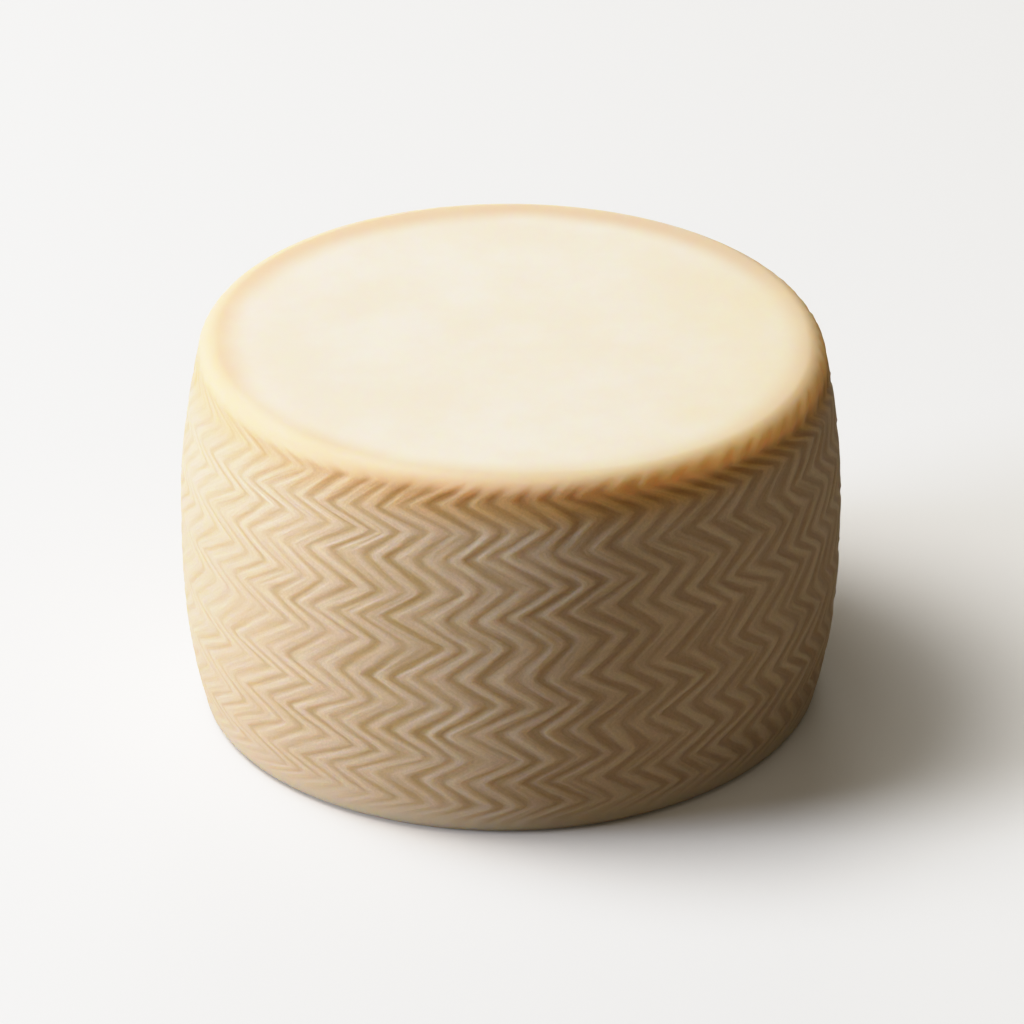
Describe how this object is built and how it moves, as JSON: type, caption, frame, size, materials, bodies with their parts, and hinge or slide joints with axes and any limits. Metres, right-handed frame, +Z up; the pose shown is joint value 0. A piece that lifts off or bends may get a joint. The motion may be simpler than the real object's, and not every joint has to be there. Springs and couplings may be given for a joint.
{
  "type": "cheese wheel",
  "caption": "Whole uncut wheel of pressed cheese, a low barrel with a flat top, a rounded top edge and a zigzag plait pattern pressed into its side.",
  "frame": {"origin": "centre of the flat base, on the surface that the wheel stands on", "axes": "+Z up through the wheel, -Y towards the side that faces the viewer"},
  "size_m": [0.19, 0.1912, 0.1126],
  "materials": {
    "rind": "dull waxy cheese rind, cream on the flat top and amber at the top edge and in the grooves"
  },
  "bodies": {
    "root": {"cheese_wheel": "rind"}
  },
  "joints": []
}
